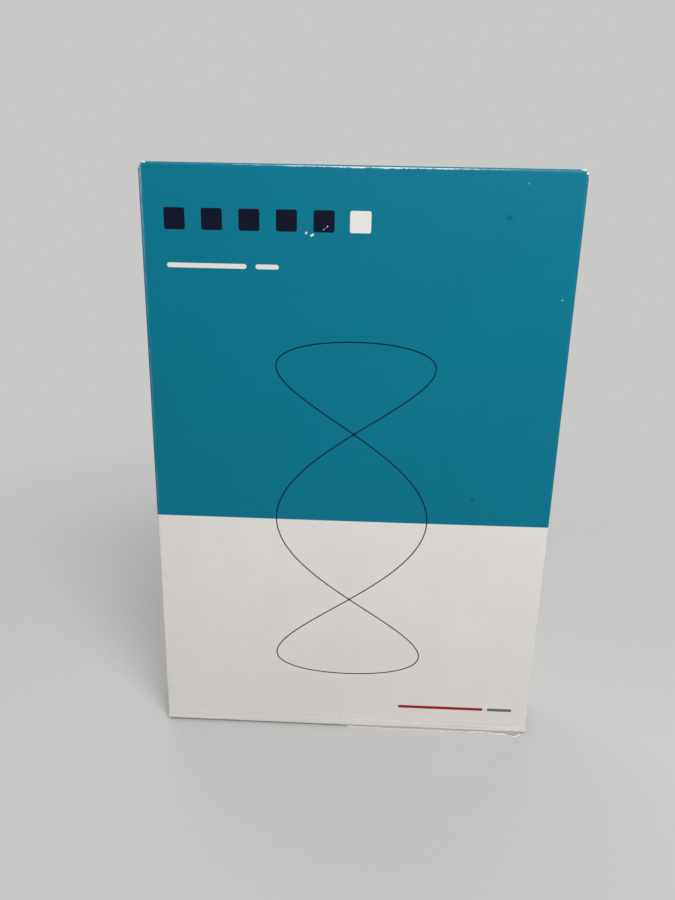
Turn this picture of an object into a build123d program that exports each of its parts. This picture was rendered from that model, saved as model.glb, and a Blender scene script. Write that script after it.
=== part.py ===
from build123d import *
from math import asin, cos, degrees, radians, sin
import os

os.makedirs("parts", exist_ok=True)

# A printed folding carton for one flat sterile pack, closed and standing upright.
# One die-cut board makes the sleeve, its glue seam, its dust flaps and its glued
# bottom flaps. The tuck lid turns about the top edge of the back panel.
# Millimetres, +Z up, front panel towards -Y, origin in the middle of the underside.

# Closed carton, over the outside
width = 115.0
depth = 22.0
height = 169.0

# Board
board = 0.45  # thickness
crease = 0.3  # inside radius of every fold
running_gap = 0.1  # between the lid and what it closes on

# Glue seam, inside the back panel at the left
seam_width = 13.0
seam_slant = 5.0  # how much its free edge is shorter at each end
lap_setback = 0.15  # cut edge of the back panel, inside the left corner

# Dust flaps, two at the top and two at the bottom
dust_length = 36.0
dust_taper = 1.6
dust_round = 5.0

# Bottom flaps, glued one on the other
inner_flap_gap = 1.8  # from the inner flap's free edge to the back panel
outer_setback = 1.1  # free edge of the outer flap, behind the front face in the left half
outer_swing = 0.2  # and in front of it in the right half, where the glue let go
outer_step = 0.0  # where it comes out from under the front panel, from the middle
outer_step_run = 0.9

# Torn tongue of the outer flap, near the right corner
tongue_inset = 2.1  # from the right side of the carton
tongue_width = 11.0
tongue_reach = 1.65  # in front of the front face
# its ragged edge, as shares of its width and of its reach beyond the free edge
tongue_teeth = ((0.15, 0.3), (0.42, 0.45), (0.58, 0.62), (0.8, 1.0), (0.87, 0.85), (0.97, 0.2))

# Tuck lid
lid_inset = 0.4  # at each end, behind the outside of the side panels
lid_rise = 0.5  # top of the lid over the cut edge of the front panel
lid_round = 0.9  # front corners of the top panel
tuck_clearance = 0.3  # between the tuck flap's fold and the front panel
tuck_spare = 0.1  # part of that clearance that the flap's free edge may use
tuck_length = 12.5
tuck_inset = 1.4  # at each end, inside the side panels
tuck_round = 7.0
slit = 0.4  # between the tuck flap's fold and each shoulder of the top panel

# Middle of the board in each panel, and the folds between them
fold = crease + board  # outside radius of a fold
bend = crease + board / 2  # radius along the middle of the board
side_mid = width / 2 - board / 2
back_mid = depth / 2 - board / 2
front_mid = -back_mid
panel_half = width / 2 - fold  # flat part of the front and back panels, each way
side_half = depth / 2 - fold  # flat part of the side panels, each way

# Layers of the bottom, from the floor up, and of the top, from the lid down
outer_level = board / 2
inner_level = outer_level + board
low_dust_level = inner_level + board
lid_level = height - board / 2
top_dust_level = lid_level - board - running_gap
front_top = height - lid_rise
back_top = lid_level - board / 2 - running_gap
corner_low = low_dust_level + bend
corner_high = top_dust_level - bend

# The lid turns about the middle of the board at the back. Its tuck flap leans in by
# just the angle at which its free edge swings clear of the front panel.
tuck_fold = front_mid + board + tuck_clearance
lid_reach = back_mid - tuck_fold
swing_room = tuck_spare * (2 * lid_reach + board + tuck_spare)
tuck_lean = degrees(asin((tuck_length**2 - swing_room) / (2 * tuck_length * lid_reach)))
lid_half = width / 2 - lid_inset
tuck_half = width / 2 - board - tuck_inset

# The top dust flaps stop short of the path of the tuck flap.
tuck_sweep = lid_reach * cos(radians(tuck_lean)) - board / 2
top_dust_front = back_mid - tuck_sweep + tuck_clearance
root = width / 2 - fold  # where a dust flap leaves its fold


def dust_flap(level, front_edge, back_edge):
    """Plan of a dust flap at the right, from its fold to its free end."""
    free_end = width / 2 - dust_length
    with BuildPart() as flap:
        with BuildSketch(Plane.XY.offset(level - board / 2)):
            with BuildLine():
                Polyline(
                    (root, front_edge),
                    (free_end, front_edge + dust_taper),
                    (free_end, back_edge - dust_taper),
                    (root, back_edge),
                    close=True,
                )
            make_face()
            fillet(vertices().group_by(Axis.X)[0], dust_round)
        extrude(amount=board)
    return flap.part


def side_strip(back_edge):
    """A side panel at the right with the folds and dust flaps at its two ends."""
    with BuildPart() as folded:
        with BuildSketch(Plane.XZ.offset(-back_edge)):
            with BuildLine():
                FilletPolyline(
                    (root - crease, top_dust_level),
                    (side_mid, top_dust_level),
                    (side_mid, low_dust_level),
                    (root - crease, low_dust_level),
                    radius=bend,
                )
            trace(line_width=board)
        extrude(amount=back_edge + side_half)
    with BuildPart() as strip:
        add(folded.part)
        add(dust_flap(top_dust_level, top_dust_front, back_edge))
        add(dust_flap(low_dust_level, -side_half, back_edge))
    return strip.part


def corner_fold(x, y, start):
    """An upright fold whose middle of bend is centred on x, y and turns 90 degrees."""
    with BuildPart() as corner:
        with BuildSketch(Plane.XY.offset(corner_low)):
            with BuildLine():
                CenterArc((x, y), bend, start, 90)
            trace(line_width=board)
        extrude(amount=corner_high - corner_low)
    return corner.part


# Front panel, whose cut edge shows at the top, and the inner bottom flap
inner_flap_end = back_mid - board / 2 - inner_flap_gap
with BuildPart() as front_strip:
    with BuildSketch(Plane.YZ):
        with BuildLine():
            FilletPolyline(
                (front_mid, front_top),
                (front_mid, inner_level),
                (inner_flap_end, inner_level),
                radius=bend,
            )
        trace(line_width=board)
    extrude(amount=panel_half, both=True)

# Free edge of the outer bottom flap: the left half stays tucked under, the right half
# has come out from under the front panel, and the torn tongue juts out at its end.
front_face = -depth / 2
tucked_edge = front_face + outer_setback
swung_edge = front_face - outer_swing
far_front = front_face - 2 * tongue_reach
tongue_right = width / 2 - tongue_inset
tongue_left = tongue_right - tongue_width
tear = tongue_reach - outer_swing
torn_edge = [(tongue_left + along * tongue_width, swung_edge - out * tear) for along, out in tongue_teeth]

# Back panel, whose outer bottom flap lies under all the others
with BuildPart() as back_strip:
    with BuildSketch(Plane.YZ):
        with BuildLine():
            FilletPolyline(
                (back_mid, back_top),
                (back_mid, outer_level),
                (far_front, outer_level),
                radius=bend,
            )
        trace(line_width=board)
    extrude(amount=panel_half, both=True)
    with BuildSketch(Plane.XY):
        with BuildLine():
            Polyline(
                (-width, tucked_edge),
                (outer_step, tucked_edge),
                (outer_step + outer_step_run, swung_edge),
                (tongue_left, swung_edge),
                *torn_edge,
                (tongue_right, tucked_edge),
                (width, tucked_edge),
                (width, far_front - board),
                (-width, far_front - board),
                close=True,
            )
        make_face()
    extrude(amount=board, both=True, mode=Mode.SUBTRACT)

# The back panel laps over the glue seam and ends in a cut edge at the left corner.
with BuildPart() as lap:
    with BuildSketch(Plane.XZ.offset(board - depth / 2)):
        with Locations((-panel_half, corner_low)):
            Rectangle(fold - lap_setback, corner_high - corner_low, align=(Align.MAX, Align.MIN))
    extrude(amount=-board)

with BuildPart() as glue_seam:
    with BuildSketch(Plane.XZ.offset(board - depth / 2)):
        with BuildLine():
            Polyline(
                (-panel_half, corner_low),
                (seam_width - panel_half, corner_low + seam_slant),
                (seam_width - panel_half, corner_high - seam_slant),
                (-panel_half, corner_high),
                close=True,
            )
        make_face()
    extrude(amount=board)

with BuildPart() as carton:
    add(front_strip.part)
    add(back_strip.part)
    add(lap.part)
    add(glue_seam.part)
    add(side_strip(side_half))
    add(mirror(side_strip(side_half - board), about=Plane.YZ, mode=Mode.PRIVATE))
    add(corner_fold(panel_half, -side_half, -90))
    add(corner_fold(-panel_half, -side_half, 180))
    add(corner_fold(panel_half, side_half, 0))
    add(corner_fold(-panel_half, side_half - board, 90))

# Tuck lid: a rounded hinge edge, the top panel with its two shoulders, and the tuck
# flap on its fold between them
fold_start = tuck_fold + bend
fold_front = tuck_fold - board / 2
shoulder = lid_half - tuck_half - slit
with BuildPart() as tuck_lid:
    with BuildSketch(Plane.YZ):
        with BuildLine():
            FilletPolyline(
                (fold_start + bend, lid_level),
                (tuck_fold, lid_level),
                (
                    tuck_fold + tuck_length * sin(radians(tuck_lean)),
                    lid_level - tuck_length * cos(radians(tuck_lean)),
                ),
                radius=bend,
            )
        trace(line_width=board)
    extrude(amount=tuck_half, both=True)
    free_corners = edges().filter_by(Axis.X, reverse=True).group_by(Axis.Z)[0]
    fillet(free_corners, tuck_round)
    with BuildSketch(Plane.XY.offset(lid_level - board / 2)) as top_panel:
        with Locations((0, back_mid)):
            Rectangle(2 * lid_half, back_mid - fold_start, align=(Align.CENTER, Align.MAX))
        with Locations((lid_half, fold_start), (shoulder - lid_half, fold_start)):
            Rectangle(shoulder, fold_start - fold_front, align=(Align.MAX, Align.MAX))
        outer_corners = vertices().group_by(Axis.Y)[0].sort_by(Axis.X)
        fillet([outer_corners[0], outer_corners[-1]], lid_round)
    extrude(amount=board)
    with BuildSketch(Plane.YZ):
        with Locations((back_mid, lid_level)):
            Circle(board / 2)
    extrude(amount=lid_half, both=True)

carton.part.label = "carton"
export_step(carton.part, "parts/carton.step")
tuck_lid.part.label = "tuck_lid"
export_step(tuck_lid.part, "parts/tuck_lid.step")
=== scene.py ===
import math
import random
import bmesh
import bpy
from mathutils import Matrix, Vector, noise


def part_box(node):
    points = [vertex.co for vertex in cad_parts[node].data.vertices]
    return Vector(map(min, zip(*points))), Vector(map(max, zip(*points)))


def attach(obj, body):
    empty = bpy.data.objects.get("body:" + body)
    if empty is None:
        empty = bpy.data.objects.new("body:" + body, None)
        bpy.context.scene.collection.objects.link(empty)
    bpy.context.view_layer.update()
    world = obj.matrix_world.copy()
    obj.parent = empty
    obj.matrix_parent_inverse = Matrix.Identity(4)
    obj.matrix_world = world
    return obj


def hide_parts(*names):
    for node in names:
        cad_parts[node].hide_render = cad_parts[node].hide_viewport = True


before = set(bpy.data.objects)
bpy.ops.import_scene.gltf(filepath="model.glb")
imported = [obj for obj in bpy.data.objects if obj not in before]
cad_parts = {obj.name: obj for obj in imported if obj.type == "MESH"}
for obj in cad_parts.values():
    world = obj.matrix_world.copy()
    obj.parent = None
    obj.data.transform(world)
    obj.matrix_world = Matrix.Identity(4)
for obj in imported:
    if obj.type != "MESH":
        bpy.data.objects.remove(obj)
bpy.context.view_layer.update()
mm = 0.001
quarter = math.pi / 2
hair = 1e-6  # metres, far less than any step in the carton

# Sizes read from the frame
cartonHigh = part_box("carton")[1]
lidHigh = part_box("tuck_lid")[1]
halfWide = cartonHigh.x
halfDeep = cartonHigh.y
frontTop = cartonHigh.z  # cut edge of the front panel
lidHalf = lidHigh.x
lidTop = lidHigh.z

board = {
    "thick": 0.45 * mm,
    "crease": 0.3 * mm,  # inside radius of a fold
    "foldSteps": 6,
    "gap": 0.1 * mm,  # between the lid and what it closes on
    "besideFold": (0.45, 1.0, 1.8),  # rows of faces beside a fold, in millimetres from it
    "edgeRound": 0.05 * mm,  # of the cut edges
    "edgeSteps": 2,
    "edgeOver": 50,  # degrees, from which an edge is rounded
    "endTurn": 0.7,  # a cut face whose normal goes this far across is an end of the sheet
    "smoothUnder": 35,  # degrees
    "joinWithin": 0.002 * mm,
    "cutWithin": 0.01 * mm,
}
printedSlot, bareSlot, cutSlot = range(3)  # materials of the outside, the inside and the edges
thick = board["thick"]
fold = board["crease"] + thick  # outside radius of a fold
flatWide = halfWide - fold  # where the flat of the front and back panels ends
flatDeep = halfDeep - fold  # and that of the side panels
crest = fold * math.sqrt(0.5)  # from the centre of a fold to its crest, each way
print("frame loaded")


# Camera at the photo's place, seen from the front panel
cameraPlan = {
    "place": (1.51 * mm, -204.7 * mm, 152.46 * mm),
    "right": (0.99907, 0.03752, 0.02105),
    "forward": (-0.02974, 0.95591, -0.29215),
    "lens": 28.49,
}


def placeCamera():
    camera = bpy.data.objects.new("photoCamera", bpy.data.cameras.new("photoCamera"))
    bpy.context.scene.collection.objects.link(camera)
    forward = Vector(cameraPlan["forward"]).normalized()
    up = Vector(cameraPlan["right"]).cross(forward).normalized()
    right = forward.cross(up)
    turn = Matrix((right, up, -forward)).transposed().to_4x4()
    camera.matrix_world = Matrix.Translation(cameraPlan["place"]) @ turn
    camera.data.lens = cameraPlan["lens"]
    camera.data.clip_start = 5 * mm
    camera.data.dof.use_dof = False
    bpy.context.scene.camera = camera


placeCamera()
print("camera placed")


# Small tools for materials. Patterns are worked out in millimetres, on Object coordinates.
def feed(tree, socket, value):
    if isinstance(value, bpy.types.NodeSocket):
        tree.links.new(value, socket)
    elif socket.type == "VECTOR":
        socket.default_value = value[:3]
    else:
        socket.default_value = value


def calc(tree, kind, *values, clamp=False):
    node = tree.nodes.new("ShaderNodeMath")
    node.operation = kind
    node.use_clamp = clamp
    for socket, value in zip(node.inputs, values):
        feed(tree, socket, value)
    return node.outputs[0]


def vectorCalc(tree, kind, first, second):
    node = tree.nodes.new("ShaderNodeVectorMath")
    node.operation = kind
    feed(tree, node.inputs[0], first)
    feed(tree, node.inputs["Scale" if kind == "SCALE" else 1], second)
    return node.outputs["Value" if kind == "DISTANCE" else "Vector"]


def weigh(tree, base, *pairs):
    # the base, plus each value times its weight
    total = base
    for value, weight in pairs:
        total = calc(tree, "MULTIPLY_ADD", value, weight, total)
    return total


def runThrough(kind):
    def combine(tree, result, *others):
        for value in others:
            result = calc(tree, kind, result, value)
        return result

    return combine


strongest = runThrough("MAXIMUM")
nearest = runThrough("MINIMUM")
allOf = runThrough("MULTIPLY")


def square(tree, value):
    return calc(tree, "MULTIPLY", value, value)


def diagonal(tree, first, second):
    return calc(tree, "SQRT", calc(tree, "ADD", square(tree, first), square(tree, second)))


def ridge(tree, value, middle, width):
    # 1 at the middle, fading to nothing at about twice the width
    away = calc(tree, "DIVIDE", calc(tree, "SUBTRACT", value, middle), width)
    return calc(tree, "EXPONENT", calc(tree, "MULTIPLY", square(tree, away), -1.0))


def ramp(tree, value, start, end):
    # 0 at the start, 1 at the end and beyond
    return calc(tree, "DIVIDE", calc(tree, "SUBTRACT", value, start), end - start, clamp=True)


def layColour(tree, mask, under, over):
    # a colour mix takes its colours at sockets 6 and 7 and gives its result at 2
    node = tree.nodes.new("ShaderNodeMix")
    node.data_type = "RGBA"
    feed(tree, node.inputs[0], mask)
    feed(tree, node.inputs[6], under)
    feed(tree, node.inputs[7], over)
    return node.outputs[2]


def addNoise(tree, place, scale, detail, rough=0.5):
    node = tree.nodes.new("ShaderNodeTexNoise")
    feed(tree, node.inputs["Vector"], place)
    node.inputs["Scale"].default_value = scale
    node.inputs["Detail"].default_value = detail
    node.inputs["Roughness"].default_value = rough
    return node.outputs[0]


def startGroup(name, inputs, outputs):
    group = bpy.data.node_groups.new(name, "ShaderNodeTree")
    for label in inputs:
        kind = "NodeSocketVector" if label == "Place" else "NodeSocketFloat"
        group.interface.new_socket(name=label, in_out="INPUT", socket_type=kind)
    for label in outputs:
        group.interface.new_socket(name=label, in_out="OUTPUT", socket_type="NodeSocketFloat")
    given = group.nodes.new("NodeGroupInput").outputs
    made = group.nodes.new("NodeGroupOutput").inputs
    return group, given, made


def useGroup(tree, group, **values):
    node = tree.nodes.new("ShaderNodeGroup")
    node.node_tree = group
    for label, value in values.items():
        feed(tree, node.inputs[label], value)
    return node.outputs


# Unevenness of the board, its coating and its wear, as noise with so many cells to a millimetre
grainPlan = {
    "fibre": {"scale": 5.5, "detail": 4, "rough": 0.65},
    "peel": {"scale": 1.2, "detail": 3, "rough": 0.6},
    "cloud": {"scale": 0.05, "detail": 3},
    "toneShares": (0.25, 0.4, 0.35),  # of fibre, peel and cloud
    "flake": {"scale": 2.6, "detail": 4, "rough": 0.7},
    "crack": {"scale": 3.4, "detail": 4, "rough": 0.75},
    "patch": {"scale": 0.25, "detail": 2},
    "rubMix": (-1.35, 2.2, 2.0),  # start, then the weights of flake and patch
    "crackMix": (-1.3, 1.6, 2.0),  # start, then the weights of crack and patch
}

# What a fold does to the print, in millimetres from its crest
foldMarks = {
    "crackAt": 0.42,
    "crackWide": 0.25,
    "dentAt": 1.0,  # of the score line beside it
    "dentWide": 0.22,
    "dentDeep": 0.6,
    "beadAt": 1.6,  # raised beyond the score line
    "beadWide": 0.35,
    "beadHigh": 0.35,
}
softEdge = 0.03  # millimetres over which a printed edge fades, each way


def makeBoardGrain():
    group, given, made = startGroup("boardGrain", ["Place"], ["Tone", "Fibre", "Peel"])
    kinds = [addNoise(group, given["Place"], **grainPlan[name]) for name in ("fibre", "peel", "cloud")]
    feed(group, made["Tone"], weigh(group, 0.0, *zip(kinds, grainPlan["toneShares"])))
    feed(group, made["Fibre"], kinds[0])
    feed(group, made["Peel"], kinds[1])
    return group


# How unevenly print rubs off: Rub spreads a rubbed place, Crack breaks it up
def makeWearGrain():
    group, given, made = startGroup("wearGrain", ["Place"], ["Rub", "Crack"])
    patch = addNoise(group, given["Place"], **grainPlan["patch"])
    for output, kind, mix in (("Rub", "flake", "rubMix"), ("Crack", "crack", "crackMix")):
        fine = addNoise(group, given["Place"], **grainPlan[kind])
        start, fineWeight, patchWeight = grainPlan[mix]
        feed(group, made[output], weigh(group, start, (fine, fineWeight), (patch, patchWeight)))
    return group


# Ink cracked along the crest of a fold, and the dent of the score line beside it
def makeWornFold():
    group, given, made = startGroup("wornFold", ["Distance", "Crack", "Wear"], ["Bare", "Dent"])
    ring = ridge(group, given["Distance"], foldMarks["crackAt"], foldMarks["crackWide"])
    cracked = calc(group, "MULTIPLY", ring, given["Crack"], clamp=True)
    feed(group, made["Bare"], calc(group, "MULTIPLY", cracked, given["Wear"]))
    dent = ridge(group, given["Distance"], foldMarks["dentAt"], foldMarks["dentWide"])
    bead = ridge(group, given["Distance"], foldMarks["beadAt"], foldMarks["beadWide"])
    relief = weigh(group, 0.0, (dent, -foldMarks["dentDeep"]), (bead, foldMarks["beadHigh"]))
    feed(group, made["Dent"], relief)
    return group


# A printed block or bar with rounded corners
def makePrintedBlock():
    inputs = ["X", "Z", "MiddleX", "MiddleZ", "HalfX", "HalfZ", "Round"]
    group, given, made = startGroup("printedBlock", inputs, ["Mask"])
    beyond = []
    for axis in "XZ":
        away = calc(group, "SUBTRACT", given[axis], given["Middle" + axis])
        core = calc(group, "SUBTRACT", given["Half" + axis], given["Round"])
        past = calc(group, "SUBTRACT", calc(group, "ABSOLUTE", away), core)
        beyond.append(calc(group, "MAXIMUM", past, 0.0))
    inside = calc(group, "SUBTRACT", given["Round"], diagonal(group, *beyond))
    feed(group, made["Mask"], ramp(group, inside, -softEdge, softEdge))
    return group


boardGrain = makeBoardGrain()
wearGrain = makeWearGrain()
wornFold = makeWornFold()
printedBlock = makePrintedBlock()


ink = {
    "teal": (0.001, 0.182, 0.272, 1),
    "white": (0.825, 0.797, 0.765, 1),
    "navy": (0.0015, 0.004, 0.018, 1),
    "black": (0.012, 0.013, 0.016, 1),
    "red": (0.36, 0.015, 0.025, 1),
    "grey": (0.15, 0.155, 0.16, 1),
    "board": (0.88, 0.87, 0.84, 1),  # white fibre under the print
    "bare": (0.57, 0.55, 0.505, 1),  # uncoated inside
    "bareDark": (0.36, 0.33, 0.28, 1),
    # torn upper ply of the tongue, darkened further by painted shade from the front panel's fold above
    # it
    "tornPlyAndShade": (0.40, 0.385, 0.36, 1),
    "grime": (0.60, 0.58, 0.54, 1),
}

# Print of the front panel, in millimetres from its middle and from the floor
printPlan = {
    "tealFrom": 71.6,
    "tealRough": 0.12,  # how unevenly the teal ends on the board's fibres
    "bleed": 4.0,  # print runs on this far past the top folds
    "squares": {"ink": "navy", "count": 5, "firstX": -48.5, "pitch": 9.8},
    "square": (155.1, 2.75, 2.75, 0.55),  # middle z, half width, half height, radius
    # ink, middle x, middle z, half width, half height, radius
    "bars": (
        ("white", 0.2, 155.1, 2.75, 2.75, 0.55),
        ("white", -40.3, 143.3, 10.6, 0.62, 0.62),
        ("white", -24.2, 143.3, 3.1, 0.62, 0.62),
        ("red", 29.9, 8.7, 13.4, 0.5, 0.5),
        ("grey", 48.5, 8.7, 3.9, 0.5, 0.5),
    ),
    "loop": {"middleZ": 72.0, "halfTall": 52.0, "halfWide": 22.0, "line": 0.17, "soft": 0.04},
}

# Handling marks, in millimetres
wearPlan = {
    # where the print is rubbed off: place and reach
    "rubs": (
        ((-57.35, -10.55, 167.6), 0.85),
        ((-57.0, -10.95, 168.3), 0.6),
        ((57.2, -10.85, 168.1), 0.5),
        ((57.35, -10.5, 167.2), 0.3),
        ((-57.3, -10.8, 0.9), 0.8),
        ((57.3, -10.8, 0.9), 0.7),
        ((57.2, 10.7, 168.0), 0.8),
        ((-57.2, 10.7, 1.4), 0.7),
        ((-13.9, -11.1, 152.15), 0.36),
        ((-12.6, -11.1, 151.5), 0.3),
        ((-12.15, -11.1, 151.75), 0.34),
        ((-9.4, -11.1, 153.04), 0.34),
        ((-8.93, -11.1, 153.45), 0.4),
        ((-8.42, -11.1, 153.88), 0.42),
        ((42.5, -11.1, 165.3), 0.4),
        ((54.0, -11.1, 136.5), 0.3),
    ),
    "rubBorder": 0.09,
    # small dark marks: place and size
    "spots": (
        ((38.1, -11.1, 156.8), 0.5),
        ((38.7, -11.1, 157.1), 0.42),
        ((34.6, -11.1, 79.4), 0.5),
    ),
    "spotDark": 0.45,
    "foldWear": 0.12,
    "foldWearAtEnds": 0.36,
    "foldWearAndHighlightAcross": (65.0, -40.0),  # x where the wear of the upright folds, with a painted highlight on their crests, starts and is full
    "endReach": 22.0,
    "lidEnd": 0.22,
    "cutEdge": 0.05,
    "thumbAndHighlightX": 5.0,  # the cut edge is whitest in the middle, partly rubbed where a thumb lifts the lid, partly a painted highlight of the light above
    "thumbAndHighlightWide": 23.0,
    "thumbRubAndHighlight": 0.38,
    # faint leaning bend of the front panel from the bottom edge up, and wrinkles over the bottom fold
    "bend": {"foot": -1.9, "lean": -0.13, "wide": 0.6, "fullTo": 4.0, "top": 16.0, "high": 4.5},
    "wrinkles": {"cells": (0.09, 0.3, 1.1), "fullTo": 1.0, "top": 5.5, "high": 16.0},
}
farOff = 50.0  # millimetres, added to a distance where its mark may not show

# Satin varnish over the print, which is gone where the print is rubbed off
varnish = {
    "tone": 0.3,  # how much the print's colour varies
    "rough": 0.34,
    "roughTone": 0.16,
    "roughRubbed": 0.35,
    "coat": 0.05,
    "coatRough": 0.25,
    "specular": 0.1,
    "bump": 0.02 * mm,
    "peel": 0.6,  # shares of the bump
    "fibre": 0.15,
    "rubbedMix": (-1.3, 2.2),
}

# Bare board: its uncoated inside, and its cut and torn edges
rawBoard = {
    "tone": 0.12,
    "specular": 0.25,
    "fibreCells": (1.0, 1.0, 0.22),
    "fibre": {"scale": 3.2, "detail": 3, "rough": 0.7},
    "darkMix": (-0.45, 0.9),
    "shadedPlyReach": 0.4,  # millimetres in front of the front face, over which the torn ply turns to its darker grey with painted shade
    "insideRough": (0.78, 0.12),
    "insideBump": 0.03 * mm,
    "fineFibre": 0.6,
    "plyCells": (0.6, 0.6, 1.6),
    "ply": {"scale": 7.0, "detail": 4, "rough": 0.7},
    "grime": {"scale": 0.5, "detail": 3},
    "grimeMix": (2.0, -0.96),
    "edgeRough": (0.8, 0.1),
    "edgeBump": 0.06 * mm,
}


def startMaterial(name):
    material = bpy.data.materials.new(name)
    material.use_nodes = True
    tree = material.node_tree
    coords = tree.nodes.new("ShaderNodeTexCoord").outputs["Object"]
    place = vectorCalc(tree, "SCALE", coords, 1 / mm)
    split = tree.nodes.new("ShaderNodeSeparateXYZ")
    tree.links.new(place, split.inputs[0])
    grain = useGroup(tree, boardGrain, Place=place)
    return material, tree, tree.nodes["Principled BSDF"], place, split.outputs, grain


def addBump(tree, shader, height, depth):
    bump = tree.nodes.new("ShaderNodeBump")
    bump.inputs["Distance"].default_value = depth
    bump.inputs["Strength"].default_value = 1
    feed(tree, bump.inputs["Height"], height)
    tree.links.new(bump.outputs["Normal"], shader.inputs["Normal"])


def fromCrest(tree, first, second, crestFirst, crestSecond):
    # distance from the crest of a fold, in the plane square to it
    across = calc(tree, "SUBTRACT", first, crestFirst / mm)
    deep = calc(tree, "SUBTRACT", second, crestSecond / mm)
    return diagonal(tree, across, deep)


def toned(tree, colour, grain, amount):
    # the same colour, a little darker and lighter from place to place
    return vectorCalc(tree, "SCALE", colour, weigh(tree, 1 - amount / 2, (grain["Tone"], amount)))


def rubbedBy(tree, wear, reach, distance):
    # millimetres inside the uneven border of a rubbed place
    return calc(tree, "SUBTRACT", calc(tree, "MULTIPLY", wear["Rub"], reach), distance)


def coatedFinish(shader, tree, colour, rubbed, grain, relief):
    roughParts = (grain["Tone"], varnish["roughTone"]), (rubbed, varnish["roughRubbed"])
    feed(tree, shader.inputs["Base Color"], layColour(tree, rubbed, colour, ink["board"]))
    feed(tree, shader.inputs["Roughness"], weigh(tree, varnish["rough"], *roughParts))
    feed(tree, shader.inputs["Coat Weight"], weigh(tree, varnish["coat"], (rubbed, -varnish["coat"])))
    shader.inputs["Coat Roughness"].default_value = varnish["coatRough"]
    shader.inputs["Specular IOR Level"].default_value = varnish["specular"]
    start, weight = varnish["rubbedMix"]
    worn = allOf(tree, rubbed, weigh(tree, start, (grain["Fibre"], weight)))
    parts = (grain["Peel"], varnish["peel"]), (grain["Fibre"], varnish["fibre"]), (worn, 1.0)
    addBump(tree, shader, weigh(tree, relief, *parts), varnish["bump"])


def rawFinish(shader, tree, colour, roughness, grain, height, depth):
    feed(tree, shader.inputs["Base Color"], toned(tree, colour, grain, rawBoard["tone"]))
    feed(tree, shader.inputs["Roughness"], roughness)
    shader.inputs["Specular IOR Level"].default_value = rawBoard["specular"]
    addBump(tree, shader, height, depth)


def loopMask(tree, x, z):
    # thin closed line that crosses itself twice: a cosine up, three sines across
    plan = printPlan["loop"]
    up = calc(tree, "DIVIDE", calc(tree, "SUBTRACT", z, plan["middleZ"]), plan["halfTall"])
    upSquare = square(tree, up)
    lobe = weigh(tree, -1.0, (upSquare, 4.0))
    wide = allOf(tree, weigh(tree, 1.0, (upSquare, -1.0)), square(tree, lobe))
    level = weigh(tree, 0.0, (square(tree, x), 1.0), (wide, -plan["halfWide"] ** 2))
    steep = allOf(tree, up, lobe, weigh(tree, 18.0, (upSquare, -24.0)))
    slopeZ = calc(tree, "MULTIPLY", steep, plan["halfWide"] ** 2 / plan["halfTall"])
    slopes = weigh(tree, hair, (square(tree, x), 4.0), (square(tree, slopeZ), 1.0))
    away = calc(tree, "DIVIDE", calc(tree, "ABSOLUTE", level), calc(tree, "SQRT", slopes))
    return ramp(tree, away, plan["line"] + plan["soft"], plan["line"] - plan["soft"])


def frontPrint(tree, x, z, onFront, grain):
    # two fields of colour all round, then what is printed on the front panel alone
    rough = printPlan["tealRough"]
    uneven = weigh(tree, -rough / 2, (z, 1.0), (grain["Fibre"], rough))
    teal = ramp(tree, uneven, printPlan["tealFrom"] - softEdge, printPlan["tealFrom"] + softEdge)
    colour = layColour(tree, teal, ink["white"], ink["teal"])
    line = layColour(tree, teal, ink["black"], ink["navy"])
    colour = layColour(tree, allOf(tree, loopMask(tree, x, z), onFront), colour, line)
    row = printPlan["squares"]
    blocks = [
        (row["ink"], row["firstX"] + row["pitch"] * n, *printPlan["square"]) for n in range(row["count"])
    ]
    labels = ("MiddleX", "MiddleZ", "HalfX", "HalfZ", "Round")
    for name, *sizes in blocks + list(printPlan["bars"]):
        block = useGroup(tree, printedBlock, X=x, Z=z, **dict(zip(labels, sizes)))
        colour = layColour(tree, allOf(tree, block["Mask"], onFront), colour, ink[name])
    return colour


def cartonRubs(tree, place, x, z, onFront, wear):
    # corners, scuffs, and the cut edge of the front panel, whose white middle is partly thumb wear and
    # partly a painted highlight
    depths = [
        rubbedBy(tree, wear, reach, vectorCalc(tree, "DISTANCE", place, point))
        for point, reach in wearPlan["rubs"]
    ]
    # painted highlight with thumb wear: the cut edge is whitened most in its middle and fades to both
    # sides
    thumbAndHighlight = ridge(tree, x, wearPlan["thumbAndHighlightX"], wearPlan["thumbAndHighlightWide"])
    reach = weigh(tree, wearPlan["cutEdge"], (thumbAndHighlight, wearPlan["thumbRubAndHighlight"]))
    belowEdge = weigh(tree, frontTop / mm + farOff, (z, -1.0), (onFront, -farOff))
    depths.append(rubbedBy(tree, wear, reach, belowEdge))
    return ramp(tree, strongest(tree, *depths), 0.0, wearPlan["rubBorder"])


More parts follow.
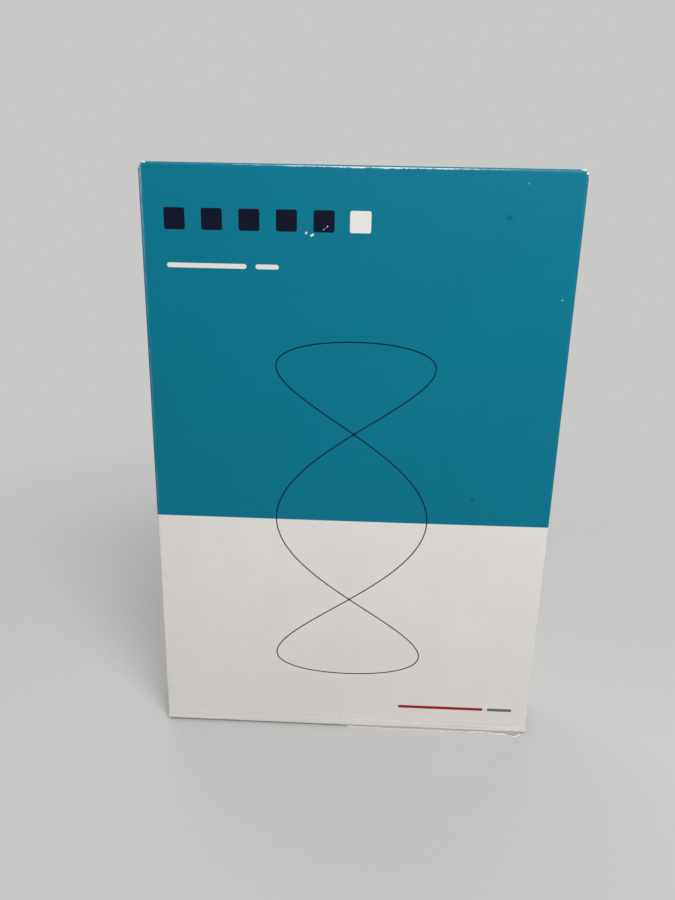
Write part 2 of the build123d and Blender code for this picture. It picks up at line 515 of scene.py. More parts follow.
def cartonFolds(tree, x, y, z, wear):
    # the upright folds are most worn near the corners; their crests are lighter at the left, partly wear
    # and partly a painted highlight
    wide = calc(tree, "ABSOLUTE", x)
    deep = calc(tree, "ABSOLUTE", y)
    ends = strongest(tree, *(ridge(tree, z, end / mm, wearPlan["endReach"]) for end in (lidTop, 0.0)))
    worn = weigh(tree, wearPlan["foldWear"], (ends, wearPlan["foldWearAtEnds"]))
    # painted highlight: the crest whitening fades from the left fold to the right one, as the light
    # falls
    worn = allOf(tree, worn, ramp(tree, x, *wearPlan["foldWearAndHighlightAcross"]))
    away = fromCrest(tree, wide, deep, flatWide + crest, flatDeep + crest)
    upright = useGroup(tree, wornFold, Distance=away, Crack=wear["Crack"], Wear=worn)

    # level folds: at both ends of the side panels, at the foot of the others, and the lid's crease
    atSideFoot = fromCrest(tree, wide, z, flatWide + crest, foldLow - crest)
    atSideTop = fromCrest(tree, wide, z, flatWide + crest, foldHigh + crest)
    pastSide = calc(tree, "GREATER_THAN", deep, flatDeep / mm)
    atSides = weigh(tree, nearest(tree, atSideFoot, atSideTop), (pastSide, farOff))
    atFoot = fromCrest(tree, deep, z, flatDeep + crest, thick + fold - crest)
    away = nearest(tree, atSides, atFoot, fromCrest(tree, y, z, halfDeep, lidTop))
    level = useGroup(tree, wornFold, Distance=away, Crack=wear["Crack"], Wear=wearPlan["foldWear"])
    bare = strongest(tree, upright["Bare"], level["Bare"])
    return bare, calc(tree, "ADD", upright["Dent"], level["Dent"])


def cartonRelief(tree, place, x, z, onFront):
    plan = wearPlan["bend"]
    path = weigh(tree, -plan["foot"], (x, 1.0), (z, plan["lean"]))
    bend = allOf(tree, ridge(tree, path, 0.0, plan["wide"]), ramp(tree, z, plan["top"], plan["fullTo"]))
    relief = weigh(tree, 0.0, (bend, plan["high"]))
    plan = wearPlan["wrinkles"]
    wrinkles = addNoise(tree, vectorCalc(tree, "MULTIPLY", place, plan["cells"]), scale=1, detail=2)
    wrinkles = allOf(tree, wrinkles, ramp(tree, z, plan["top"], plan["fullTo"]))
    return allOf(tree, weigh(tree, relief, (wrinkles, plan["high"])), onFront)


def printedCarton():
    material, tree, shader, place, (x, y, z), grain = startMaterial("printedCarton")
    wear = useGroup(tree, wearGrain, Place=place)
    onFront = calc(tree, "LESS_THAN", y, -flatDeep / mm)
    colour = frontPrint(tree, x, z, onFront, grain)

    # past the bleed the top dust flaps are white
    onFlap = allOf(
        tree,
        calc(tree, "GREATER_THAN", z, (dustTop - fold / 2) / mm),
        calc(tree, "LESS_THAN", calc(tree, "ABSOLUTE", x), flatWide / mm - printPlan["bleed"]),
        calc(tree, "LESS_THAN", calc(tree, "ABSOLUTE", y), flatDeep / mm),
    )
    colour = toned(tree, layColour(tree, onFlap, colour, ink["white"]), grain, varnish["tone"])
    for point, size in wearPlan["spots"]:
        spot = ridge(tree, vectorCalc(tree, "DISTANCE", place, point), 0.0, size)
        colour = vectorCalc(tree, "SCALE", colour, weigh(tree, 1.0, (spot, -wearPlan["spotDark"])))
    bare, dents = cartonFolds(tree, x, y, z, wear)
    rubbed = strongest(tree, cartonRubs(tree, place, x, z, onFront, wear), bare)
    relief = calc(tree, "ADD", dents, cartonRelief(tree, place, x, z, onFront))
    coatedFinish(shader, tree, colour, rubbed, grain, relief)
    return material


def printedLid():
    material, tree, shader, place, (x, y, z), grain = startMaterial("printedLid")
    wear = useGroup(tree, wearGrain, Place=place)
    pastBleed = calc(tree, "LESS_THAN", z, (lidTop - fold) / mm - printPlan["bleed"])
    colour = layColour(tree, pastBleed, ink["teal"], ink["white"])
    colour = toned(tree, colour, grain, varnish["tone"])
    atTuck = fromCrest(tree, y, z, foldFront + fold - crest, lidTop - fold + crest)
    away = nearest(tree, atTuck, fromCrest(tree, y, z, halfDeep, lidTop))
    folds = useGroup(tree, wornFold, Distance=away, Crack=wear["Crack"], Wear=wearPlan["foldWear"])
    fromEnd = weigh(tree, lidHalf / mm, (calc(tree, "ABSOLUTE", x), -1.0))
    ends = ramp(tree, rubbedBy(tree, wear, wearPlan["lidEnd"], fromEnd), 0.0, wearPlan["rubBorder"])
    rubbed = strongest(tree, folds["Bare"], ends)
    coatedFinish(shader, tree, colour, rubbed, grain, folds["Dent"])
    return material


def bareBoard():
    # greyish white with short fibres; in front of the front face a darker grey, partly torn ply and
    # partly painted shade from the front panel's fold
    material, tree, shader, place, (_, y, _), grain = startMaterial("bareBoard")
    stretched = vectorCalc(tree, "MULTIPLY", place, rawBoard["fibreCells"])
    fibres = addNoise(tree, stretched, **rawBoard["fibre"])
    start, weight = rawBoard["darkMix"]
    dark = calc(tree, "MAXIMUM", weigh(tree, start, (fibres, weight)), 0.0)
    colour = layColour(tree, dark, ink["bare"], ink["bareDark"])
    # painted shade: the tongue in front of the front face is darkened, partly for its torn ply, partly
    # for the shade under the front panel's fold
    tornPlyAndShadeMask = ramp(tree, y, -halfDeep / mm, -halfDeep / mm - rawBoard["shadedPlyReach"])
    colour = layColour(tree, tornPlyAndShadeMask, colour, ink["tornPlyAndShade"])
    start, weight = rawBoard["insideRough"]
    roughness = weigh(tree, start, (fibres, weight))
    height = weigh(tree, 0.0, (fibres, 1.0), (grain["Fibre"], rawBoard["fineFibre"]))
    rawFinish(shader, tree, colour, roughness, grain, height, rawBoard["insideBump"])
    return material


def cutBoard():
    # white fibre, a little grubby
    material, tree, shader, place, _, grain = startMaterial("cutBoard")
    stretched = vectorCalc(tree, "MULTIPLY", place, rawBoard["plyCells"])
    plies = addNoise(tree, stretched, **rawBoard["ply"])
    patches = addNoise(tree, place, **rawBoard["grime"])
    grubby = calc(tree, "MULTIPLY_ADD", patches, *rawBoard["grimeMix"], clamp=True)
    colour = layColour(tree, grubby, ink["board"], ink["grime"])
    start, weight = rawBoard["edgeRough"]
    roughness = weigh(tree, start, (plies, weight))
    rawFinish(shader, tree, colour, roughness, grain, plies, rawBoard["edgeBump"])
    return material


# Small tools for folding a sheet edge by edge
def startSheet(name, size, place, turned):
    bpy.ops.object.select_all(action="DESELECT")
    bpy.ops.mesh.primitive_plane_add(size=1, location=place, rotation=turned)
    sheet = bpy.context.active_object
    sheet.name = name
    sheet.scale = (size[0], size[1], 1)
    bpy.ops.object.transform_apply(location=True, rotation=True, scale=True)
    bpy.ops.object.mode_set(mode="EDIT")
    return sheet


def startPick(sheet, kind):
    bpy.ops.mesh.select_mode(type=kind)
    bpy.ops.mesh.select_all(action="DESELECT")
    return bmesh.from_edit_mesh(sheet.data)


def pickEdges(sheet, test):
    mesh = startPick(sheet, "EDGE")
    for edge in mesh.edges:
        if all(test(vert.co) for vert in edge.verts):
            edge.select_set(True)
    bmesh.update_edit_mesh(sheet.data)


def pickVerts(sheet, test):
    mesh = startPick(sheet, "VERT")
    for vert in mesh.verts:
        vert.select_set(test(vert.co))
    bmesh.update_edit_mesh(sheet.data)


def pickFaces(sheet, test):
    mesh = startPick(sheet, "FACE")
    for face in mesh.faces:
        face.select_set(test(face.calc_center_median()))
    bmesh.update_edit_mesh(sheet.data)


def near(value, target):
    return abs(value - target) < hair


def runOn(x=0, y=0, z=0):
    bpy.ops.mesh.extrude_edges_move(TRANSFORM_OT_translate={"value": (x, y, z)})


def turnFold(centre, axis, angle):
    # spin turns against the right-hand rule
    bpy.ops.mesh.spin(steps=board["foldSteps"], angle=-angle, center=centre, axis=axis)


def narrow(centre, shareY=1, shareZ=1):
    bpy.ops.transform.resize(value=(1, shareY, shareZ), center_override=centre)


def roundCorners(radius, steps):
    bpy.ops.mesh.bevel(offset=radius, segments=steps, affect="VERTICES")


def joinUp():
    # edges that meet become one, and the printed side faces outwards
    bpy.ops.mesh.select_all(action="SELECT")
    bpy.ops.mesh.remove_doubles(threshold=board["joinWithin"])
    bpy.ops.mesh.normals_make_consistent(inside=False)


def cutAcross(axis, place):
    # through the faces that are picked
    normal = Vector((axis == "x", axis == "y", axis == "z"))
    bpy.ops.mesh.bisect(plane_co=normal * place, plane_no=normal, threshold=board["cutWithin"])


def cutAll(axis, places):
    for place in places:
        bpy.ops.mesh.select_all(action="SELECT")
        cutAcross(axis, place)


def spread(low, high, count):
    return [low + (high - low) * step / count for step in range(1, count)]


def besideFold(edge, towards):
    # close rows, which keep a panel flat up to its fold
    return [edge + towards * step * mm for step in board["besideFold"]]


def thicken(sheet, finish):
    # inwards from the printed side
    for material in finish:
        sheet.data.materials.append(material)
    solid = sheet.modifiers.new("thickness", "SOLIDIFY")
    solid.thickness = thick
    solid.offset = -1
    solid.use_even_offset = True
    solid.material_offset = bareSlot
    solid.material_offset_rim = cutSlot
    bpy.ops.object.modifier_apply(modifier="thickness")


def roundEdges(sheet):
    rounded = sheet.modifiers.new("cutEdges", "BEVEL")
    rounded.width = board["edgeRound"]
    rounded.segments = board["edgeSteps"]
    rounded.limit_method = "ANGLE"
    rounded.angle_limit = math.radians(board["edgeOver"])
    rounded.use_clamp_overlap = True
    bpy.ops.object.modifier_apply(modifier="cutEdges")


def coverCrease(sheet, inCrease, printedFrom):
    # the board isn't cut along the lid's crease: bare inside, and printed from some height up
    for face in sheet.data.polygons:
        alongIt = abs(face.normal.x) < board["endTurn"]
        if face.material_index == cutSlot and alongIt and inCrease(face.center):
            face.material_index = printedSlot if face.center.z > printedFrom else bareSlot


def smoothFolds():
    bpy.ops.object.shade_smooth_by_angle(angle=math.radians(board["smoothUnder"]))


# Free edge of the outer bottom flap, under the right half of the front panel, and its torn tongue
tonguePlan = {
    # outline from the middle to the right: millimetres across, and in front of the front face
    "outline": (
        (0.0, -1.1), (0.9, -0.04), (9.5, 0.0), (10.6, 0.24), (20.0, 0.24), (35.0, 0.25), (39.0, 0.36),
        (40.7, 0.14), (43.4, -0.12), (45.2, -0.05), (45.8, 0.35), (46.5, 0.7), (48.1, 0.88), (49.7, 0.9),
        (51.3, 1.05), (52.2, 1.4), (52.9, 1.72), (54.2, 1.7), (55.1, 1.05), (56.0, 0.15), (56.15, -1.1),
    ),
    "left": 45.2 * mm,
    "reach": 1.7 * mm,
    "edgeStep": 1.1 * mm,
    "tearStep": 0.26 * mm,
    "lastStep": 0.04 * mm,
    "rows": (0.16, 0.34, 0.55, 0.8, 1.1, 1.5),  # millimetres behind the free edge, running along it
    "drawnFrom": 3.2 * mm,  # how far behind the tucked edge the flap starts to follow the outline
    "edgeRough": 0.05 * mm,
    "tearRough": 0.13 * mm,
    "roughness": ((0.9, 7.7, 1.0), (3.7, 3.1, 0.6)),  # noise cells to a millimetre, row and share
    "curl": 0.12 * mm,
    "curlWave": (0.6, 0.4, 900),  # steady and waving share, and radians to a metre
    "stripped": 0.5,  # share of the board torn off its upper side at the tip
    "strippedMix": (0.75, 0.9),  # start, and weight of the noise
    "strippedCells": (1900, 2600),  # to a metre, across and deep
    "frayed": 0.36 * mm,  # white torn border of its upper side
    "frayedRough": 0.8,
    "frayedCells": 2100,
}
frontFace = -halfDeep
tongueLeft = tonguePlan["left"]
tongueRight = tonguePlan["outline"][-1][0] * mm
tuckedEdge = frontFace - tonguePlan["outline"][0][1] * mm


def freeEdgeAt(x):
    outline = tonguePlan["outline"]
    across = x / mm
    if across <= outline[0][0] or x > tongueRight - hair:
        return tuckedEdge
    for (lowX, low), (highX, high) in zip(outline, outline[1:]):
        if across <= highX:
            out = low + (high - low) * (across - lowX) / (highX - lowX)
            break
    torn = tonguePlan["tearRough"] if x > tongueLeft else tonguePlan["edgeRough"]
    rough = sum(
        share * noise.noise((across * cells, row, 0)) for cells, row, share in tonguePlan["roughness"]
    )
    return min(tuckedEdge, frontFace - out * mm - torn * rough)


def tearTongue(sheet):
    def onFlap(centre):
        return near(centre.z, 0)

    places = [tonguePlan["outline"][n][0] * mm for n in (0, 1, -1)]
    places += [tongueLeft, tongueRight - tonguePlan["lastStep"]]
    places += spread(0, tongueLeft, round(tongueLeft / tonguePlan["edgeStep"]))
    places += spread(tongueLeft, tongueRight, round((tongueRight - tongueLeft) / tonguePlan["tearStep"]))
    for place in places:
        pickFaces(sheet, onFlap)
        cutAcross("x", place)
    for row in tonguePlan["rows"]:
        pickFaces(sheet, lambda centre: onFlap(centre) and centre.x > 0)
        cutAcross("y", tuckedEdge + row * mm)
    start = tonguePlan["drawnFrom"]
    steady = tonguePlan["rows"][-1] * mm
    level, wave, turn = tonguePlan["curlWave"]
    mesh = bmesh.from_edit_mesh(sheet.data)
    for vert in mesh.verts:
        behind = vert.co.y - tuckedEdge
        if onFlap(vert.co) and behind < start:
            share = min(1, (start - behind) / (start - steady))
            vert.co.y += share * (freeEdgeAt(vert.co.x) - tuckedEdge)
        if onFlap(vert.co) and tongueLeft < vert.co.x < tongueRight:
            out = max(0, (frontFace - vert.co.y) / tonguePlan["reach"])
            vert.co.z = out * tonguePlan["curl"] * (level + wave * math.sin(vert.co.x * turn))
    bmesh.update_edit_mesh(sheet.data)


def stripTongue(sheet):
    # the tear has taken the upper plies off the tongue, most at its tip, and left a white border
    start, weight = tonguePlan["strippedMix"]
    across, deep = tonguePlan["strippedCells"]
    for vert in sheet.data.vertices:
        over = 0.6 * thick < vert.co.z < 2 * thick  # the flap's upper side alone
        if over and tongueLeft < vert.co.x < tongueRight and vert.co.y < frontFace:
            out = min(1, (frontFace - vert.co.y) / tonguePlan["reach"])
            rough = start + weight * noise.noise((vert.co.x * across, vert.co.y * deep, 0.4))
            vert.co.z -= thick * tonguePlan["stripped"] * out * max(0, min(1, rough))
    for face in sheet.data.polygons:
        x, y, z = face.center
        over = face.material_index == bareSlot and z < 2 * thick
        if over and tongueLeft < x < tongueRight and y < frontFace:
            rough = tonguePlan["frayedRough"] * noise.noise((x * tonguePlan["frayedCells"], 5.3, 0))
            if y - freeEdgeAt(x) < tonguePlan["frayed"] * (1 + rough):
                face.material_index = cutSlot


# Short fibres that stand out of the torn edge
fibrePlan = {
    "count": 46,
    "seed": 11,
    "long": 0.45 * mm,
    "wide": 0.035 * mm,
    "sides": 5,
    "tip": 0.3,  # its width there, as a share
    "kinkAt": 0.55,  # share of its length
    "kinked": 1.5,  # how far its upper half is pushed aside, in widths
    "insets": (0.6 * mm, 0.3 * mm),  # from the tongue's left and right end
    "aimAcross": (-0.8, 0.8),
    "aimUp": (-0.05, 0.3),
    "rootDeep": 0.12 * mm,  # behind the free edge
    "rootHigh": (0.12, 0.26),  # millimetres
    "lengths": (0.5, 1.3),
}


def makeFibre():
    # one kinked sliver, upright on its root
    long = fibrePlan["long"]
    wide = fibrePlan["wide"]
    tip = wide * fibrePlan["tip"]
    bpy.ops.object.select_all(action="DESELECT")
    bpy.ops.mesh.primitive_cone_add(
        vertices=fibrePlan["sides"], radius1=wide, radius2=tip, depth=long, location=(0, 0, long / 2)
    )
    fibre = bpy.context.active_object
    bpy.ops.object.transform_apply(location=True)
    bpy.ops.object.mode_set(mode="EDIT")
    bpy.ops.mesh.select_all(action="SELECT")
    cutAcross("z", long * fibrePlan["kinkAt"])
    pickVerts(fibre, lambda co: co.z > long / 2)
    bpy.ops.transform.translate(value=(wide * fibrePlan["kinked"], 0, 0))
    bpy.ops.object.mode_set(mode="OBJECT")
    return fibre


def makeTornFibres():
    fibre = makeFibre()
    random.seed(fibrePlan["seed"])
    fromLeft, fromRight = fibrePlan["insets"]
    copies = []
    for _ in range(fibrePlan["count"]):
        x = random.uniform(tongueLeft + fromLeft, tongueRight - fromRight)
        aimX = random.uniform(*fibrePlan["aimAcross"])
        aim = Vector((aimX, -1, random.uniform(*fibrePlan["aimUp"])))
        bpy.ops.object.select_all(action="DESELECT")
        fibre.select_set(True)
        bpy.context.view_layer.objects.active = fibre
        bpy.ops.object.duplicate()
        copy = bpy.context.active_object
        high = random.uniform(*fibrePlan["rootHigh"]) * mm
        copy.location = (x, freeEdgeAt(x) + fibrePlan["rootDeep"], high)
        copy.rotation_euler = aim.to_track_quat("Z", "X").to_euler()
        copy.scale = (1, 1, random.uniform(*fibrePlan["lengths"]))
        copies.append(copy)
    bpy.data.objects.remove(fibre)
    for copy in copies:
        copy.select_set(True)
    bpy.ops.object.join()
    fibres = bpy.context.active_object
    fibres.name = "tornFibres"
    bpy.ops.object.transform_apply(location=True, rotation=True, scale=True)
    fibres.data.materials.append(boardEdges)
    return fibres


# The carton's board, folded from its front panel
cartonPlan = {
    "seamWide": 13 * mm,
    "seamSlant": 5 * mm,
    "lapSetback": 0.15 * mm,
    "dustLong": 36 * mm,
    "dustTaper": 1.6 * mm,
    "dustRelief": 2.0 * mm,  # top dust flaps, at the front, clear of the tuck flap
    "dustRelease": (0.25 * mm, 0.8 * mm),  # lengths past the fold before and while it's cut back
    "dustRound": 5 * mm,
    "dustRoundSteps": 5,
    "innerFlapGap": 1.8 * mm,
    "columns": 34,
    "rows": 48,
    "courses": 6,
    "bow": 0.2 * mm,  # how far the big panels belly out
    # knocked corners: which one, how far round it, and millimetres outwards across, in depth, and up
    "knocked": (
        ((-1, -1, 1), 2.4 * mm, (0.22, 0.0, 0.05)),
        ((1, -1, 1), 2.2 * mm, (-0.1, -0.12, -0.05)),
        ((1, 1, 1), 2.0 * mm, (-0.08, -0.08, 0.0)),
        ((-1, -1, -1), 1.9 * mm, (0.42, 0.12, -0.12)),
        ((1, -1, -1), 1.9 * mm, (0.42, 0.2, -0.1)),
        ((1, 1, -1), 1.8 * mm, (-0.06, -0.06, 0.0)),
    ),
    "knockRough": 0.5,
    "knockCells": 1500,  # to a metre
    "rimDeep": 0.06 * mm,  # height of the back panel's cut edge, with its rounding
}
foldLow = 2 * thick + fold  # lower end of the upright folds
dustTop = lidTop - thick - board["gap"]  # outside of the top dust flaps, and cut edge of the back panel
foldHigh = dustTop - fold


def foldSleeve():
    tall = foldHigh - foldLow
    middle = foldLow + tall / 2
    sheet = startSheet("cartonBoard", (2 * flatWide, tall), (0, -halfDeep, middle), (quarter, 0, 0))

    # right side, back panel and its lap over the seam
    pickEdges(sheet, lambda co: near(co.x, flatWide))
    turnFold((flatWide, -flatDeep, 0), (0, 0, 1), quarter)
    runOn(y=2 * flatDeep)
    turnFold((flatWide, flatDeep, 0), (0, 0, 1), quarter)
    runOn(x=-2 * flatWide)
    runOn(x=-(fold - cartonPlan["lapSetback"]))

    # left side and the glue seam inside the back panel
    pickEdges(sheet, lambda co: near(co.x, -flatWide) and near(co.y, -halfDeep))
    turnFold((-flatWide, -flatDeep, 0), (0, 0, 1), -quarter)
    runOn(y=2 * flatDeep - thick)
    turnFold((-flatWide, flatDeep - thick, 0), (0, 0, 1), -quarter)
    runOn(x=cartonPlan["seamWide"])
    narrow((0, 0, middle), shareZ=1 - 2 * cartonPlan["seamSlant"] / tall)
    return sheet


def pickPanelEnd(sheet, y, z):
    pickEdges(sheet, lambda co: near(co.y, y) and near(co.z, z) and abs(co.x) < flatWide + hair)


def foldPanelEnds(sheet):
    # cut edges of the front and back panels at the top
    pickPanelEnd(sheet, -halfDeep, foldHigh)
    runOn(z=frontTop - foldHigh)
    pickPanelEnd(sheet, halfDeep, foldHigh)
    runOn(z=dustTop - foldHigh)

    # inner bottom flap from the front panel, outer one from the back panel
    pickPanelEnd(sheet, -halfDeep, foldLow)
    runOn(z=-thick)
    turnFold((0, -flatDeep, thick + fold), (1, 0, 0), quarter)
    runOn(y=flatDeep + halfDeep - thick - cartonPlan["innerFlapGap"])
    pickPanelEnd(sheet, halfDeep, foldLow)
    runOn(z=-2 * thick)
    turnFold((0, flatDeep, fold), (1, 0, 0), -quarter)
    runOn(y=tuckedEdge - flatDeep)


def foldDustFlaps(sheet):
    first, second = cartonPlan["dustRelease"]
    rest = cartonPlan["dustLong"] - fold - first - second
    for side in (-1, 1):
        for end, level in ((-1, foldLow), (1, foldHigh)):
            pickEdges(sheet, lambda co: near(co.x, side * halfWide) and near(co.z, level))
            turnFold((side * flatWide, 0, level), (0, 1, 0), -quarter * side * end)
            runOn(x=-side * first)
            runOn(x=-side * second)
            if end > 0:
                narrow((0, flatDeep, 0), shareY=1 - cartonPlan["dustRelief"] / (2 * flatDeep))
            runOn(x=-side * rest)
            narrow((0, 0, 0), shareY=1 - cartonPlan["dustTaper"] / flatDeep)
    pickVerts(sheet, lambda co: near(abs(co.x), halfWide - cartonPlan["dustLong"]))
    roundCorners(cartonPlan["dustRound"], cartonPlan["dustRoundSteps"])


def closeCorners(sheet):
    # past both ends of an upright fold the board runs on round the corner, to where its creases meet
    for sideX, sideY in ((-1, -1), (-1, 1), (1, -1), (1, 1)):
        onSeam = sideX < 0 < sideY
        centre = Vector((sideX * flatWide, sideY * flatDeep - (thick if onSeam else 0)))
        for end, level in ((-1, foldLow), (1, foldHigh)):
            pickEdges(sheet, lambda co: near(co.z, level) and near((co.xy - centre).length, fold))
            if end > 0 or onSeam:
                turnFold((0, centre.y, level), (1, 0, 0), quarter * sideY * end)
            else:
                drop = thick if sideY < 0 else 2 * thick
                runOn(z=-drop)
                turnFold((centre.x, 0, level - drop), (0, 1, 0), quarter * sideX)
    joinUp()


def bellyOut(sheet):
    tall = frontTop - foldLow
    for vert in sheet.data.vertices:
        across = math.cos(quarter * min(1, abs(vert.co.x) / flatWide))
        up = math.sin(math.pi * min(1, max(0, (vert.co.z - foldLow) / tall)))
        if near(abs(vert.co.y), halfDeep):
            vert.co.y += math.copysign(cartonPlan["bow"] * across * up, vert.co.y)


def knockCorners(sheet):
    for (sideX, sideY, end), reach, (across, deep, up) in cartonPlan["knocked"]:
        point = Vector((sideX * halfWide, sideY * halfDeep, dustTop if end > 0 else thick))
        push = Vector((sideX * across, sideY * deep, up)) * mm
        for vert in sheet.data.vertices:
            away = (vert.co - point).length
            if away < reach:
                cell = vert.co * cartonPlan["knockCells"]
                rough = 1 + cartonPlan["knockRough"] * noise.noise(cell)
                vert.co += push * rough * (1 - away / reach) ** 2
                vert.co.z = max(vert.co.z, 0)


def inBackRim(centre):
    return centre.y > flatDeep + board["edgeRound"] and centre.z > dustTop - cartonPlan["rimDeep"]


def makeCarton():
    sheet = foldSleeve()
    foldPanelEnds(sheet)
    foldDustFlaps(sheet)
    closeCorners(sheet)
    cutAll("x", spread(-flatWide, flatWide, cartonPlan["columns"]))
    cutAll("x", besideFold(-flatWide, 1) + besideFold(flatWide, -1))
    cutAll("y", spread(-flatDeep, flatDeep, cartonPlan["courses"]))
    cutAll("y", besideFold(-flatDeep, 1) + besideFold(flatDeep, -1))
    cutAll("z", spread(foldLow, foldHigh, cartonPlan["rows"]))
    cutAll("z", besideFold(foldLow, 1) + besideFold(foldHigh, -1))
    tearTongue(sheet)
    bpy.ops.object.mode_set(mode="OBJECT")
    bellyOut(sheet)
    knockCorners(sheet)
    thicken(sheet, (printedCarton(), boardInside, boardEdges))
    stripTongue(sheet)
    roundEdges(sheet)
    coverCrease(sheet, inBackRim, lidTop)
    smoothFolds()
    return sheet


# Tuck lid, folded from its top panel
lidPlan = {
    "clearance": 0.3 * mm,  # fold of the tuck flap, behind the front panel
    "spare": 0.1 * mm,  # the part of it that the flap's free edge may use as it swings
    "tuckLong": 12.5 * mm,
    "tuckInset": 1.4 * mm,
    "tuckRound": 7 * mm,
    "tuckRoundSteps": 8,
    "slit": 0.4 * mm,
    "shoulderRound": 0.9 * mm,
    "shoulderSteps": 4,
    "columns": 30,
    "rows": 8,
    "hingeSteps": 4,
    "hingeRound": 0.98,  # 1 would be a full half circle
    "printedDown": 0.75,  # how far down it's printed, as a share of the thickness
    "sag": 0.06 * mm,
}
tuckHalf = halfWide - thick - lidPlan["tuckInset"]
slitEnd = tuckHalf + lidPlan["slit"]
foldFront = frontFace + thick + lidPlan["clearance"]  # outside of the tuck flap at its fold
hingeY = halfDeep - thick / 2
lidReach = hingeY - foldFront - thick / 2
swingRoom = lidPlan["spare"] * (2 * lidReach + thick + lidPlan["spare"])
tuckLong = lidPlan["tuckLong"]
tuckLean = math.asin((tuckLong ** 2 - swingRoom) / (2 * tuckLong * lidReach))


def foldTuckFlap(sheet, foldStart):
    pickEdges(sheet, lambda co: near(co.y, foldStart))
    turnFold((0, foldStart, lidTop - fold), (1, 0, 0), quarter + tuckLean)
    bentMiddle = (board["crease"] + thick / 2) * math.tan((quarter + tuckLean) / 2)
    tuckRun = tuckLong - bentMiddle
    runOn(y=tuckRun * math.sin(tuckLean), z=-tuckRun * math.cos(tuckLean))
    mesh = bmesh.from_edit_mesh(sheet.data)
    low = min(vert.co.z for vert in mesh.verts)
    pickVerts(sheet, lambda co: near(co.z, low))
    roundCorners(lidPlan["tuckRound"], lidPlan["tuckRoundSteps"])


def addShoulders(sheet, foldStart):
    # beyond the slits, at both ends of the top panel
    for side in (-1, 1):
        pickEdges(sheet, lambda co: near(co.x, side * tuckHalf) and near(co.z, lidTop))
        runOn(x=side * lidPlan["slit"])
        runOn(x=side * (lidHalf - slitEnd))
    pickEdges(sheet, lambda co: near(co.y, foldStart) and abs(co.x) > slitEnd - hair)
    runOn(y=-fold)
    pickVerts(sheet, lambda co: near(abs(co.x), lidHalf) and near(co.y, foldFront))
    roundCorners(lidPlan["shoulderRound"], lidPlan["shoulderSteps"])


def sagTop(sheet, foldStart):
    for vert in sheet.data.vertices:
        if near(vert.co.z, lidTop) and foldStart < vert.co.y < hingeY:
            across = math.cos(quarter * min(1, abs(vert.co.x) / lidHalf))
            along = math.sin(math.pi * (vert.co.y - foldStart) / (hingeY - foldStart))
            vert.co.z -= lidPlan["sag"] * across * along


def roundHinge(sheet):
    # the rear edge becomes half round, on the hinge line
    bpy.ops.object.mode_set(mode="EDIT")
    for height in spread(lidTop - thick, lidTop, lidPlan["hingeSteps"]):
        pickFaces(sheet, lambda centre: near(centre.y, halfDeep))
        cutAcross("z", height)
    bpy.ops.object.mode_set(mode="OBJECT")
    for vert in sheet.data.vertices:
        if vert.co.y > hingeY:
            height = max(-1, min(1, (vert.co.z - (lidTop - thick / 2)) / (thick / 2)))
            share = math.sqrt(1 - lidPlan["hingeRound"] * height * height)
            vert.co.y = hingeY + (vert.co.y - hingeY) * share


def makeLid():
    foldStart = foldFront + fold
    deep = hingeY - foldStart
    sheet = startSheet("lidBoard", (2 * tuckHalf, deep), (0, foldStart + deep / 2, lidTop), (0, 0, 0))
    pickEdges(sheet, lambda co: near(co.y, hingeY))
    runOn(y=thick / 2)
    foldTuckFlap(sheet, foldStart)
    addShoulders(sheet, foldStart)
    joinUp()
    cutAll("x", spread(-tuckHalf, tuckHalf, lidPlan["columns"]))
    cutAll("y", spread(foldStart, hingeY, lidPlan["rows"]) + besideFold(foldStart, 1))
    bpy.ops.object.mode_set(mode="OBJECT")
    sagTop(sheet, foldStart)
    thicken(sheet, (printedLid(), boardInside, boardEdges))
    roundEdges(sheet)
    roundHinge(sheet)
    coverCrease(sheet, lambda centre: centre.y > hingeY, lidTop - lidPlan["printedDown"] * thick)
    smoothFolds()
    return sheet


boardInside = bareBoard()
boardEdges = cutBoard()
cartonBoard = makeCarton()
print("carton folded", len(cartonBoard.data.polygons))
tornFibres = makeTornFibres()
lidBoard = makeLid()
print("lid folded", len(lidBoard.data.polygons))

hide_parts("carton")
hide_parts("tuck_lid")
for piece, body, slot in (
    (cartonBoard, "carton", "printed_board"),
    (tornFibres, "carton", "printed_board"),
    (lidBoard, "lid", "printed_lid"),
):
    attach(piece, body)


# Pale studio: soft lamps, and a floor that fades into the backdrop
studio = {
    "floorReach": 6.0,
    "fadeFrom": 0.1,
    "fadeTo": 0.42,
    "floorSeen": (0.585, 0.585, 0.58, 1),
    "floorBounce": (0.38, 0.38, 0.375, 1),  # the floor throws back less than it shows
    "backdrop": (0.58, 0.58, 0.575, 1),
    "sky": 0.42,
    # name, place, aim, size, watts
    "lamps": (
        ("keyLamp", (0.16, -0.36, 0.44), (0, 0, 0.1), 0.28, 2.0),
        ("rearLamp", (-0.35, 0.8, 0.6), (0, 0, 0.08), 1.2, 4.2),
        ("lowLamp", (0.3, 0.7, 0.2), (0, 0, 0.08), 0.4, 0.9),
    ),
}


def seenDirectly(tree):
    # 1 for what the camera, a reflection or glass sees, 0 for light that bounces
    path = tree.nodes.new("ShaderNodeLightPath").outputs
    return strongest(tree, path["Is Camera Ray"], path["Is Glossy Ray"], path["Is Transmission Ray"])


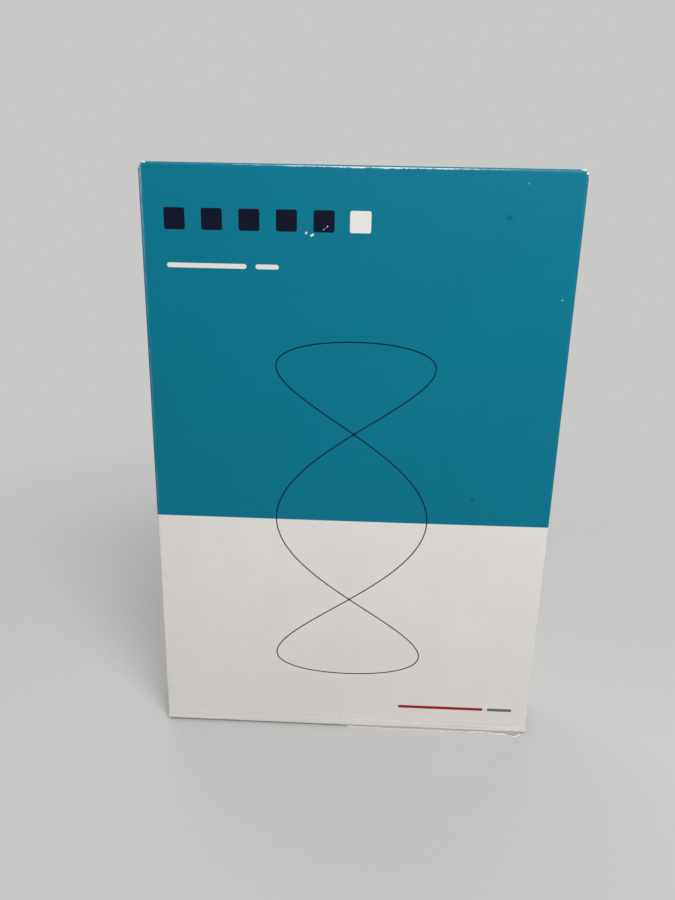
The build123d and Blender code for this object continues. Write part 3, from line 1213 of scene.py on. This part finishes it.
def mixShaders(tree, mask, first, second, output):
    mix = tree.nodes.new("ShaderNodeMixShader")
    feed(tree, mix.inputs[0], mask)
    tree.links.new(first.outputs[0], mix.inputs[1])
    tree.links.new(second.outputs[0], mix.inputs[2])
    tree.links.new(mix.outputs[0], tree.nodes[output].inputs["Surface"])


def makeFloor():
    bpy.ops.object.select_all(action="DESELECT")
    bpy.ops.mesh.primitive_circle_add(vertices=96, radius=studio["floorReach"], fill_type="NGON")
    floor = bpy.context.active_object
    floor.name = "studioFloor"
    material = bpy.data.materials.new("paleFloor")
    material.use_nodes = True
    tree = material.node_tree
    shader = tree.nodes["Principled BSDF"]
    seen = seenDirectly(tree)
    colour = layColour(tree, seen, studio["floorBounce"], studio["floorSeen"])
    feed(tree, shader.inputs["Base Color"], colour)
    shader.inputs["Roughness"].default_value = 1
    shader.inputs["Specular IOR Level"].default_value = 0
    glow = tree.nodes.new("ShaderNodeEmission")
    glow.inputs["Color"].default_value = studio["backdrop"]
    coords = tree.nodes.new("ShaderNodeTexCoord").outputs["Object"]
    away = vectorCalc(tree, "DISTANCE", coords, (0, 0, 0))
    fade = allOf(tree, ramp(tree, away, studio["fadeFrom"], studio["fadeTo"]), seen)
    mixShaders(tree, fade, shader, glow, "Material Output")
    floor.data.materials.append(material)


def makeWorld():
    world = bpy.data.worlds.new("studioWorld")
    world.use_nodes = True
    tree = world.node_tree
    sky = tree.nodes["Background"]
    sky.inputs["Color"].default_value = (1, 1, 1, 1)
    sky.inputs["Strength"].default_value = studio["sky"]
    backdrop = tree.nodes.new("ShaderNodeBackground")
    backdrop.inputs["Color"].default_value = studio["backdrop"]
    mixShaders(tree, seenDirectly(tree), sky, backdrop, "World Output")
    bpy.context.scene.world = world


def makeLamps():
    for name, place, aim, size, watts in studio["lamps"]:
        lamp = bpy.data.objects.new(name, bpy.data.lights.new(name, "AREA"))
        bpy.context.scene.collection.objects.link(lamp)
        lamp.data.shape = "DISK"
        lamp.data.size = size
        lamp.data.energy = watts
        lamp.location = place
        lamp.rotation_mode = "QUATERNION"
        lamp.rotation_quaternion = (Vector(aim) - Vector(place)).to_track_quat("-Z", "Y")
        lamp.visible_camera = False


makeFloor()
makeWorld()
makeLamps()
bpy.context.scene.view_settings.view_transform = "Standard"
print("studio set")
